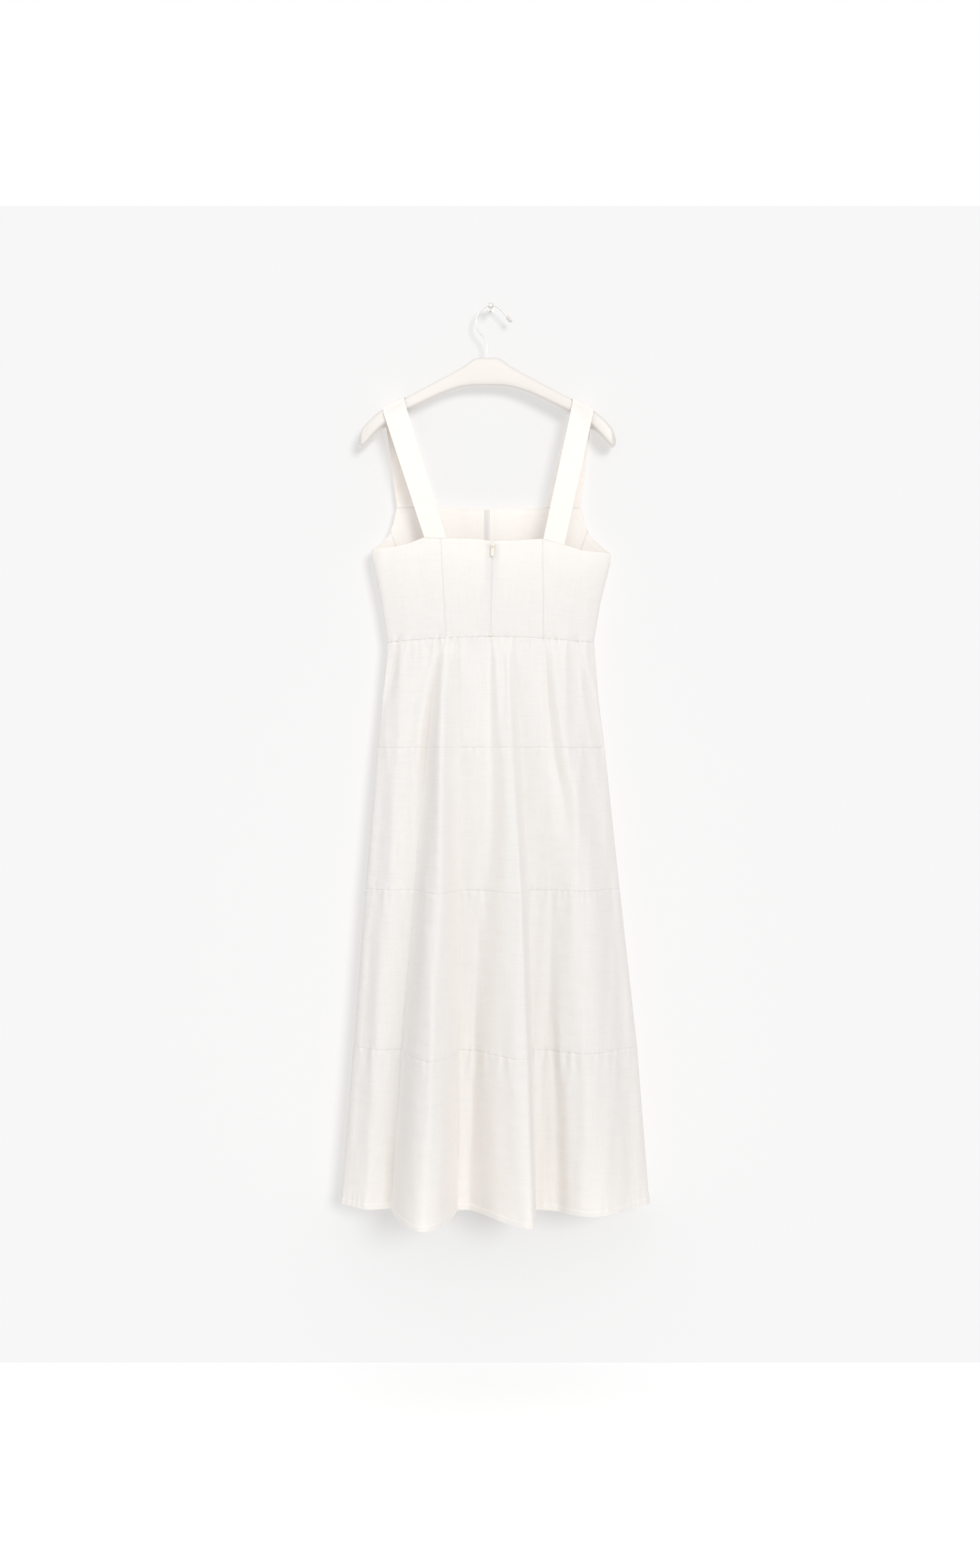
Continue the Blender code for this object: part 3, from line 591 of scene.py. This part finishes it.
# A flat grid of linen laid over a form and given its thickness. Its own map is in metres of cloth.
# Levels are the rows' shares of the height, closer together where the form needs it
def clothPiece(name, place, columns, levels, thickness):
    levels = np.asarray(levels)
    rows = len(levels) - 1
    bpy.ops.object.select_all(action="DESELECT")
    bpy.ops.mesh.primitive_grid_add(x_subdivisions=columns, y_subdivisions=rows, size=1)
    piece = bpy.context.object
    piece.name = name
    mesh = piece.data
    flat = np.empty(len(mesh.vertices) * 3)
    mesh.vertices.foreach_get("co", flat)
    flat = flat.reshape(-1, 3)
    u = np.round((flat[:, 0] + 0.5) * columns) / columns
    v = levels[np.round((flat[:, 1] + 0.5) * rows).astype(int)]
    points = np.stack(place(u, v), axis=1)
    sheet = points[np.lexsort((u, v))].reshape(rows + 1, columns + 1, 3)
    wide = float(np.linalg.norm(np.diff(sheet, axis=1), axis=2).sum(axis=1).max())
    long = float(np.linalg.norm(np.diff(sheet, axis=0), axis=2).sum(axis=0).max())
    mesh.vertices.foreach_set("co", points.ravel())
    loops = np.empty(len(mesh.loops), dtype=np.int32)
    mesh.loops.foreach_get("vertex_index", loops)
    spots = np.stack([u[loops] * wide, v[loops] * long], axis=1)
    mesh.uv_layers.active.data.foreach_set("uv", spots.ravel())
    mesh.update()
    mesh.materials.append(linen)
    wall = piece.modifiers.new("cloth", "SOLIDIFY")
    wall.thickness = thickness
    wall.offset = 0.0
    bpy.ops.object.modifier_apply(modifier="cloth")
    bpy.ops.object.shade_smooth_by_angle(angle=math.radians(clothSettings["smoothAngle"]))
    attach(piece, "dress")
    print(f"  {name}: {wide:.3f} x {long:.3f} m of linen")
    return piece


# hides the CAD node that a linen piece takes the place of
def declareCloth(piece, node, held, restsOn, **more):
    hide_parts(node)


# skirt: four tiers, each in a back and a front half

skirtSettings = dict(
    columns=dict(back=360, front=160),
    step=dict(back=0.0050, front=0.0075),
    topRows=(-.006, -.002, -.0004, .0002, .0008, .0016, .0026, .004, .006, .0085, .012),
    lowRows=(.0, .0006, .0014, .003, .006, .0084, .0090, .0096, .0102, .014),
    tuck=0.006,            # a tier's upper edge goes on inside the one above
    tuckDepth=0.0010,
    tuckEase=0.0014,
    seamRoll=0.0003,       # the cloth swells just below a seam
    rollAway=0.006,
    rollWide=0.004,
    seamSink=0.0003,       # and turns in at its lower end
    sinkHigh=0.002,
    hemFold=0.009,
    hemThick=0.0008,
    hemEase=0.0012,
    hemPucker=0.0006,
    puckerWide=0.011,
    puckerRate=61,
    puckerSway=2.2,
    swayRate=17,
    measured=2400,         # steps for the length of the folded cloth
)


# angles evenly spaced along the folded cloth at the third tier's middle
def skirtAngles(side, count):
    seams = formSettings["tierSeams"]
    angles = np.linspace(-math.pi / 2, math.pi / 2, skirtSettings["measured"] + 1)
    level = np.full_like(angles, (seams[1] + seams[2]) / 2)
    x, y, _ = clothPoint(angles, level, side, fine=0.0)
    run = np.concatenate(([0.0], np.cumsum(np.hypot(np.diff(x), np.diff(y)))))
    return np.interp(np.linspace(0, run[-1], count + 1), run, angles)


# rows of a tier: close together along its seams and its hem, evenly spaced between them
def tierLevels(side, tall):
    s = skirtSettings
    low, top = np.asarray(s["lowRows"]), tall - np.asarray(s["topRows"])[::-1]
    between = np.linspace(low[-1], top[0], round((top[0] - low[-1]) / s["step"][side]) + 1)[1:-1]
    return np.concatenate((low, between, top)) / (tall + s["tuck"])


def makeTier(side, tier, angles):
    s = skirtSettings
    seams = formSettings["tierSeams"]
    columns = s["columns"][side]
    low = seams[tier]
    upper = seams[tier - 1] if tier else formSettings["waist"]

    def place(u, v):
        angle = angles[np.round(u * columns).astype(int)]
        if tier:
            top = np.full_like(u, seams[tier - 1])
        else:
            top = waistLine(clothPoint(angle, np.full_like(u, formSettings["waist"]), side, fine=0.0)[0])
        z = low + (top + s["tuck"] - low) * v
        below = top - z
        aboveLow = z - low
        inward = s["tuckDepth"] * smoothStep((s["tuckEase"] - below) / s["tuckEase"])
        inward = inward - s["seamRoll"] * hump(below - s["rollAway"], s["rollWide"])
        if tier < 3:
            inward = inward + s["seamSink"] * np.clip(1 - aboveLow / s["sinkHigh"], 0, 1) ** 2
        else:
            inward = inward - s["hemThick"] * smoothStep((s["hemFold"] - aboveLow) / s["hemEase"] + 0.5)
            pucker = np.sin(angle * s["puckerRate"] + s["puckerSway"] * np.sin(angle * s["swayRate"]))
            inward = inward + s["hemPucker"] * pucker * hump(aboveLow - s["hemFold"], s["puckerWide"])
        return clothPoint(angle, z, side, inward)

    return clothPiece(f"linen_skirt_{side}_{tier + 1}", place, columns, tierLevels(side, upper - low),
                      clothSettings["thickness"])


def makeSkirt():
    for side in ("back", "front"):
        angles = skirtAngles(side, skirtSettings["columns"][side])
        for tier in range(4):
            above = f"bodice_{side}_left" if tier == 0 else f"linen_skirt_{side}_{tier}"
            declareCloth(makeTier(side, tier, angles), f"skirt_{side}_{tier + 1}", "gathered", [above])
    print("skirt made")


makeSkirt()


# bodice: four back and four front panels

bodiceSettings = dict(
    levels=(.0, .005, .012, .02, .03, *np.linspace(.042, .93, 56), .945, .955, .962, .972, .984, .993, 1.0),
    backTop=dict(
        x=(-.195, -.155, -.130, -.108, -.070, -.014, .0, .032, .084, .120, .148, .196),
        z=(-.398, -.3955, -.390, -.3815, -.3835, -.3855, -.388, -.3875, -.384, -.3935, -.402, -.405),
    ),
    frontTop=dict(
        x=(-.195, -.180, -.167, -.159, -.154, -.092, .0, .090, .149, .154, .163, .178, .196),
        z=(-.398, -.387, -.373, -.352, -.327, -.3245, -.328, -.3255, -.327, -.354, -.373, -.389, -.405),
    ),
    seamSink=0.0003,
    sinkWide=0.002,
    allowance=0.00025,    # the allowance behind a seam lifts the cloth beside it
    allowanceAway=0.005,
    allowanceWide=0.003,
    pucker=0.0002,        # small puckers along the seams
    puckerWide=0.006,
    puckerRate=620,
    puckerSway=3,
    swayRate=130,
    edgeFold=0.0075,      # the folded facing along the neckline
    foldEase=0.0012,
    edgeEase=0.001,
)
# the panels from the left: each seam's place at the waist and at the bodice's top. None is a side seam
bodicePanels = (
    dict(node="bodice_side_back_left", side="back", start=None, end=(-0.072, -0.081), columns=60),
    dict(node="bodice_back_left", side="back", start=(-0.072, -0.081), end=(0.0, 0.003), columns=50),
    dict(node="bodice_back_right", side="back", start=(0.0, 0.003), end=(0.086, 0.084), columns=50),
    dict(node="bodice_side_back_right", side="back", start=(0.086, 0.084), end=None, columns=60),
    dict(node="bodice_side_front_left", side="front", start=None, end=(-0.096, -0.164), columns=50),
    dict(node="bodice_front_left", side="front", start=(-0.096, -0.164), end=(-0.002, -0.002), columns=80),
    dict(node="bodice_front_right", side="front", start=(-0.002, -0.002), end=(0.094, 0.159), columns=80),
    dict(node="bodice_side_front_right", side="front", start=(0.094, 0.159), end=None, columns=50),
)


# the ring's middle and half width at a share of the bodice's height
def bodiceRing(v):
    s = formSettings
    at = ringAt(s["waist"] + (s["bodiceTop"] - s["waist"]) * v)
    return (at["right"] + at["left"]) / 2, (at["right"] - at["left"]) / 2


def seamAngle(seam, v, sign):
    middle, half = bodiceRing(v)
    if seam is None:
        return np.full_like(v, sign * math.pi / 2)
    return np.arcsin((seam[0] + (seam[1] - seam[0]) * v - middle) / half)


def bodicePlace(panel):
    s = bodiceSettings
    side = panel["side"]
    edge = s[side + "Top"]

    def place(u, v):
        low = seamAngle(panel["start"], v, -1)
        high = seamAngle(panel["end"], v, 1)
        angle = low + (high - low) * u
        middle, half = bodiceRing(v)
        x = middle + half * np.sin(angle)
        bottom = waistLine(x) + formSettings["seamGap"] / 2
        end = np.ones_like(v)
        endLow, endHigh = seamAngle(panel["start"], end, -1), seamAngle(panel["end"], end, 1)
        endMiddle, endHalf = bodiceRing(end)
        top = np.interp(endMiddle + endHalf * np.sin(endLow + (endHigh - endLow) * u), edge["x"], edge["z"])
        z = bottom + (top - bottom) * v
        wide = (high - low) * half
        fromStart = u * wide if panel["start"] else np.ones_like(u)
        fromEnd = (1 - u) * wide if panel["end"] else np.ones_like(u)
        fromSeam = np.minimum(fromStart, fromEnd)
        inward = s["seamSink"] * np.clip(1 - fromSeam / s["sinkWide"], 0, 1) ** 2
        inward = inward - s["allowance"] * hump(fromSeam - s["allowanceAway"], s["allowanceWide"])
        pucker = np.sin(z * s["puckerRate"] + s["puckerSway"] * np.sin(z * s["swayRate"]))
        inward = inward + s["pucker"] * pucker * hump(fromSeam, s["puckerWide"])
        inward = inward + s["seamSink"] * np.clip(1 - (z - bottom) / s["sinkWide"], 0, 1) ** 2
        fromTop = top - z
        folded = smoothStep((s["edgeFold"] - fromTop) / s["foldEase"]) * smoothStep(fromTop / s["edgeEase"])
        inward = inward - s["allowance"] * folded
        _, y, _ = clothPoint(angle, np.minimum(z, formSettings["bodiceTop"]), side, inward)
        return x, y, z

    return place


stripSettings = dict(
    x=-0.0070,
    wide=0.0065,
    low=0.001,            # above the waist
    high=0.0012,          # below the top edge
    inside=0.0009,
    curl=0.0003,
    curlWave=0.5,
    curlRate=210,
    columns=10,
    thickness=0.00063,
)


# the centre front seam's allowance, a strip that lies on the inside of a front panel
def insideStrip():
    s = stripSettings
    edge = bodiceSettings["frontTop"]

    def place(u, v):
        middle, half = bodiceRing(v)
        across = s["x"] + (u - 0.5) * s["wide"]
        angle = np.arcsin((across - middle) / half)
        bottom = waistLine(across) + s["low"]
        top = np.interp(across, edge["x"], edge["z"]) - s["high"]
        z = bottom + (top - bottom) * v
        curl = s["curl"] * np.abs(2 * u - 1) ** 3 * (1 + s["curlWave"] * np.sin(z * s["curlRate"]))
        _, y, _ = clothPoint(angle, np.minimum(z, formSettings["bodiceTop"]), "front", s["inside"])
        return across, y - curl, z

    return clothPiece("linen_front_allowance", place, s["columns"], bodiceSettings["levels"],
                      s["thickness"])


def makeBodice():
    strips = [insideStrip()]
    for panel in bodicePanels:
        piece = clothPiece("linen_" + panel["node"], bodicePlace(panel), panel["columns"],
                           bodiceSettings["levels"], clothSettings["thickness"])
        more = dict(with_pieces=strips) if panel["node"] == "bodice_front_left" else {}
        declareCloth(piece, panel["node"], "hung", ["strap_left", "strap_right"], **more)
    print("bodice made")


makeBodice()


# hanger

hangerSettings = dict(
    x=-0.0055,
    y=-0.026,
    # distance from the hanger's middle, and there its upper and lower edge and how thick it is
    away=(.000, .016, .023, .032, .050, .074, .100, .126, .150, .170, .186, .197, .205, .2095),
    top=(-.0840, -.0842, -.0865, -.0940, -.1050, -.1182, -.1325, -.1465, -.1590, -.1695, -.1818, -.1925,
         -.2035, -.2150),
    bottom=(-.1290, -.1292, -.1296, -.1303, -.1345, -.1434, -.1562, -.1694, -.1830, -.1972, -.2130, -.2245,
            -.2290, -.2265),
    depth=(.024, .024, .024, .024, .024, .026, .029, .033, .036, .038, .038, .036, .030, .016),
    square=0.42,        # the section is a rounded square. 1 would be an ellipse
    sides=48,
    steps=150,
    enamel="D5D0CC",
    thinEnamel="D2CDC7",
    clouds=24.0,
    relief=0.0006,
    bump=0.06,
    roughness=0.38,
    # the pale cloth below lights the hanger
    lift=dict(name="hangerBounce", strength=0.9, size=40.0, aside=0.0, up=-70.0),
)


# a place between a table's rows, along a smooth curve through them
def smoothTable(where, places, values):
    places, values = np.asarray(places), np.asarray(values)
    slopes = np.gradient(values, places)
    k = np.clip(np.searchsorted(places, where, side="right") - 1, 0, len(places) - 2)
    span = places[k + 1] - places[k]
    t = np.clip((where - places[k]) / span, 0, 1)
    start = (2 * t ** 3 - 3 * t ** 2 + 1) * values[k] + (t ** 3 - 2 * t ** 2 + t) * slopes[k] * span
    return start + (3 * t ** 2 - 2 * t ** 3) * values[k + 1] + (t ** 3 - t ** 2) * slopes[k + 1] * span


# points round the hanger's section at x, and as far outside it as grow
def hangerSection(x, turn, grow=0.0):
    s = hangerSettings
    away = np.abs(x - s["x"])
    top, bottom, depth = (smoothTable(away, s["away"], s[key]) for key in ("top", "bottom", "depth"))
    level, reach = np.sin(turn), np.cos(turn)
    up = np.sign(level) * np.abs(level) ** s["square"] * ((top - bottom) / 2 + grow)
    out = np.sign(reach) * np.abs(reach) ** s["square"] * (depth / 2 + grow)
    return x, s["y"] - out, (top + bottom) / 2 + up


# Satin enamel sprayed on shaped wood: smooth, softly shining, a little thinner in places
def satinEnamel():
    s = hangerSettings
    material, tree, shader = newMaterial("satinEnamel")
    spot = addNode(tree, "ShaderNodeTexCoord")
    cloud = addNode(tree, "ShaderNodeTexNoise", {"Scale": s["clouds"], "Detail": 3.0},
                    {"Vector": spot.outputs["Object"]})
    relief = addNode(tree, "ShaderNodeBump", {"Strength": s["bump"], "Distance": s["relief"]},
                     {"Height": cloud.outputs["Fac"]})
    colour = rampColour(tree, cloud.outputs["Fac"], s["thinEnamel"], s["enamel"])
    tree.links.new(colour, shader.inputs["Base Color"])
    tree.links.new(relief.outputs["Normal"], shader.inputs["Normal"])
    shader.inputs["Roughness"].default_value = s["roughness"]
    return material


metalSettings = dict(
    nickel="D0CFCA",
    nickelGrain=400.0,
    nickelRoughness=(0.34, 0.42),
    lacquer="ECE6DB",
    thinLacquer="DBD3C4",
    lacquerClouds=700.0,
    lacquerRoughness=0.35,
)


# Nickel plate on drawn steel wire: bright, a little cloudy
def nickelPlate():
    s = metalSettings
    material, tree, shader = newMaterial("nickelPlate")
    spot = addNode(tree, "ShaderNodeTexCoord")
    grain = addNode(tree, "ShaderNodeTexNoise", {"Scale": s["nickelGrain"], "Detail": 1.0},
                    {"Vector": spot.outputs["Object"]})
    least, most = s["nickelRoughness"]
    spread = addNode(tree, "ShaderNodeMapRange", {"To Min": least, "To Max": most},
                     {"Value": grain.outputs["Fac"]})
    tree.links.new(spread.outputs[0], shader.inputs["Roughness"])
    shader.inputs["Base Color"].default_value = linear(s["nickel"])
    shader.inputs["Metallic"].default_value = 1.0
    return material


enamel = satinEnamel()
steel = nickelPlate()


# a tube: a cylinder whose rings and sides are placed one by one, with its end faces kept
def tubePiece(name, place, steps, sides, material):
    bpy.ops.object.select_all(action="DESELECT")
    bpy.ops.mesh.primitive_cylinder_add(vertices=sides, radius=1, depth=1, end_fill_type="NGON")
    piece = bpy.context.object
    piece.name = name
    bpy.ops.object.mode_set(mode="EDIT")
    bpy.ops.mesh.select_mode(type="EDGE")
    bpy.ops.mesh.select_all(action="DESELECT")
    bpy.ops.object.mode_set(mode="OBJECT")
    mesh = piece.data
    for edge in mesh.edges:
        a, b = (mesh.vertices[k].co.z for k in edge.vertices)
        edge.select = abs(a - b) > 0.5
    bpy.ops.object.mode_set(mode="EDIT")
    bpy.ops.mesh.subdivide(number_cuts=steps - 1)
    bpy.ops.object.mode_set(mode="OBJECT")
    flat = np.empty(len(mesh.vertices) * 3)
    mesh.vertices.foreach_get("co", flat)
    flat = flat.reshape(-1, 3)
    points = np.stack(place(flat[:, 2] + 0.5, np.arctan2(flat[:, 1], flat[:, 0])), axis=1)
    mesh.vertices.foreach_set("co", points.ravel())
    mesh.update()
    bpy.ops.object.mode_set(mode="EDIT")
    bpy.ops.mesh.select_all(action="SELECT")
    bpy.ops.mesh.normals_make_consistent(inside=False)
    bpy.ops.object.mode_set(mode="OBJECT")
    mesh.materials.append(material)
    bpy.ops.object.shade_smooth_by_angle(angle=math.radians(45))
    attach(piece, "dress")
    return piece


def makeHanger():
    s = hangerSettings

    def place(share, turn):
        x = s["x"] + s["away"][-1] * np.sin(math.pi * (share - 0.5))
        return hangerSection(x, turn)

    body = tubePiece("enamelled_hanger", place, s["steps"], s["sides"], enamel)
    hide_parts("hanger_body")
    lift = addSun(s["lift"])
    lit = bpy.data.collections.new("hangerAlone")
    lit.objects.link(body)
    lift.light_linking.receiver_collection = lit
    print("hanger made")


makeHanger()


# straps, each from the back bodice over the hanger to the front bodice

strapSettings = dict(
    clearance=0.0018,
    leave=math.radians(4),
    columns=26,
    rows=150,
    run=0.42,             # share of a strap that hangs between bodice and hanger, on each side
    held=0.10,            # share over the hanger where it lies still
    ripple=0.0005,
    rippleRates=(34, 3),  # along the strap and across it
    crease=0.0003,
    creaseRates=(83, 5),
    wide=0.036,
    hem=0.004,
    hemEase=0.001,
    hemLift=0.0003,
    # both edges in x, at the back bodice, on the hanger and at the front bodice
    straps=(
        dict(node="strap_left", back=(-.107, -.071), hanger=(-.174, -.140), front=(-.153, -.093)),
        dict(node="strap_right", back=(.085, .119), hanger=(.133, .166), front=(.091, .148)),
    ),
)


def strapPlace(row, k):
    s = strapSettings
    top = formSettings["bodiceTop"]
    at = {side: float(value) for side, value in ringAt(top).items()}
    half = (at["right"] - at["left"]) / 2
    middle = (at["right"] + at["left"]) / 2

    def place(u, v):
        wrap = np.clip((v - s["run"]) / (1 - 2 * s["run"]), 0, 1)
        turn = s["leave"] + (math.pi - 2 * s["leave"]) * wrap
        across = row["hanger"][0] + (row["hanger"][1] - row["hanger"][0]) * u
        over = hangerSection(across, turn, s["clearance"])
        x, y, z = over
        for side, share in (("back", v / s["run"]), ("front", (1 - v) / s["run"])):
            baseX = row[side][0] + (row[side][1] - row[side][0]) * u
            edge = bodiceSettings[side + "Top"]
            baseZ = np.interp(baseX, edge["x"], edge["z"])
            baseY = clothPoint(np.arcsin((baseX - middle) / half), np.full_like(u, top), side, fine=0.0)[1]
            base = (baseX, baseY, baseZ)
            share = np.clip(share, 0, 1)
            x, y, z = (np.where(share < 1, low + (high - low) * share, now)
                       for low, high, now in zip(base, over, (x, y, z)))
        free = 1 - hump(v - 0.5, s["held"])
        ripple = s["ripple"] * np.sin(v * s["rippleRates"][0] + k * 2 + u * s["rippleRates"][1])
        crease = s["crease"] * np.sin(v * s["creaseRates"][0] + k + u * s["creaseRates"][1])
        hem = s["hemLift"] * smoothStep((s["hem"] - np.minimum(u, 1 - u) * s["wide"]) / s["hemEase"])
        return x, y + np.where(v < 0.5, -1.0, 1.0) * (ripple + crease + hem) * free, z

    return place


def makeStraps():
    s = strapSettings
    for k, row in enumerate(s["straps"]):
        piece = clothPiece("linen_" + row["node"], strapPlace(row, k), s["columns"],
                           np.linspace(0, 1, s["rows"] + 1), clothSettings["strapThickness"])
        declareCloth(piece, row["node"], "hung", ["hanger_body"])
    print("straps made")


makeStraps()


# hook: a wire over the peg

hookSettings = dict(
    y=-0.0235,
    wire=0.0015,
    # the wire's middle line, from the hanger up
    x=(-.0064, -.0066, -.0100, -.0175, -.0222, -.0238, -.0222, -.0170, -.0090, .0, .0090, .0175, .0240,
       .0270),
    z=(-.0839, -.0580, -.0490, -.0405, -.0325, -.0235, -.0145, -.0055, .0015, .0042, .0022, -.0040, -.0115,
       -.0150),
    nearBy=0.0004,      # how far to each side the line's direction is taken
    steps=110,
    sides=20,
)


def makeHook():
    s = hookSettings
    x, z = np.asarray(s["x"]), np.asarray(s["z"])
    run = np.concatenate(([0.0], np.cumsum(np.hypot(np.diff(x), np.diff(z)))))

    def place(share, turn):
        at = share * run[-1]
        before, after = np.maximum(at - s["nearBy"], 0), np.minimum(at + s["nearBy"], run[-1])
        alongX = smoothTable(after, run, x) - smoothTable(before, run, x)
        alongZ = smoothTable(after, run, z) - smoothTable(before, run, z)
        long = np.hypot(alongX, alongZ)
        out = s["wire"] * np.cos(turn)
        return (smoothTable(at, run, x) - alongZ / long * out, s["y"] + s["wire"] * np.sin(turn),
                smoothTable(at, run, z) + alongX / long * out)

    wire = tubePiece("hook_wire", place, s["steps"], s["sides"], steel)
    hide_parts("hanger_hook")
    print("hook made")


makeHook()


# fittings: these solids show as they are, with a material of their own

def finishNode(node, material):
    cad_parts[node].data.materials.clear()
    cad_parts[node].data.materials.append(material)


# Lacquer on die-cast zinc: smooth and a little glossy
def zincLacquer():
    s = metalSettings
    material, tree, shader = newMaterial("lacqueredZinc")
    spot = addNode(tree, "ShaderNodeTexCoord")
    cloud = addNode(tree, "ShaderNodeTexNoise", {"Scale": s["lacquerClouds"], "Detail": 2.0},
                    {"Vector": spot.outputs["Object"]})
    colour = rampColour(tree, cloud.outputs["Fac"], s["thinLacquer"], s["lacquer"])
    tree.links.new(colour, shader.inputs["Base Color"])
    shader.inputs["Roughness"].default_value = s["lacquerRoughness"]
    return material


lacquer = zincLacquer()
finishNode("hook_sleeve", enamel)
finishNode("wall_peg", steel)
for node in ("zip_slider", "zip_pull", "zip_stop"):
    finishNode(node, lacquer)
finishNode("zip_tape", linen)
print("fittings finished")
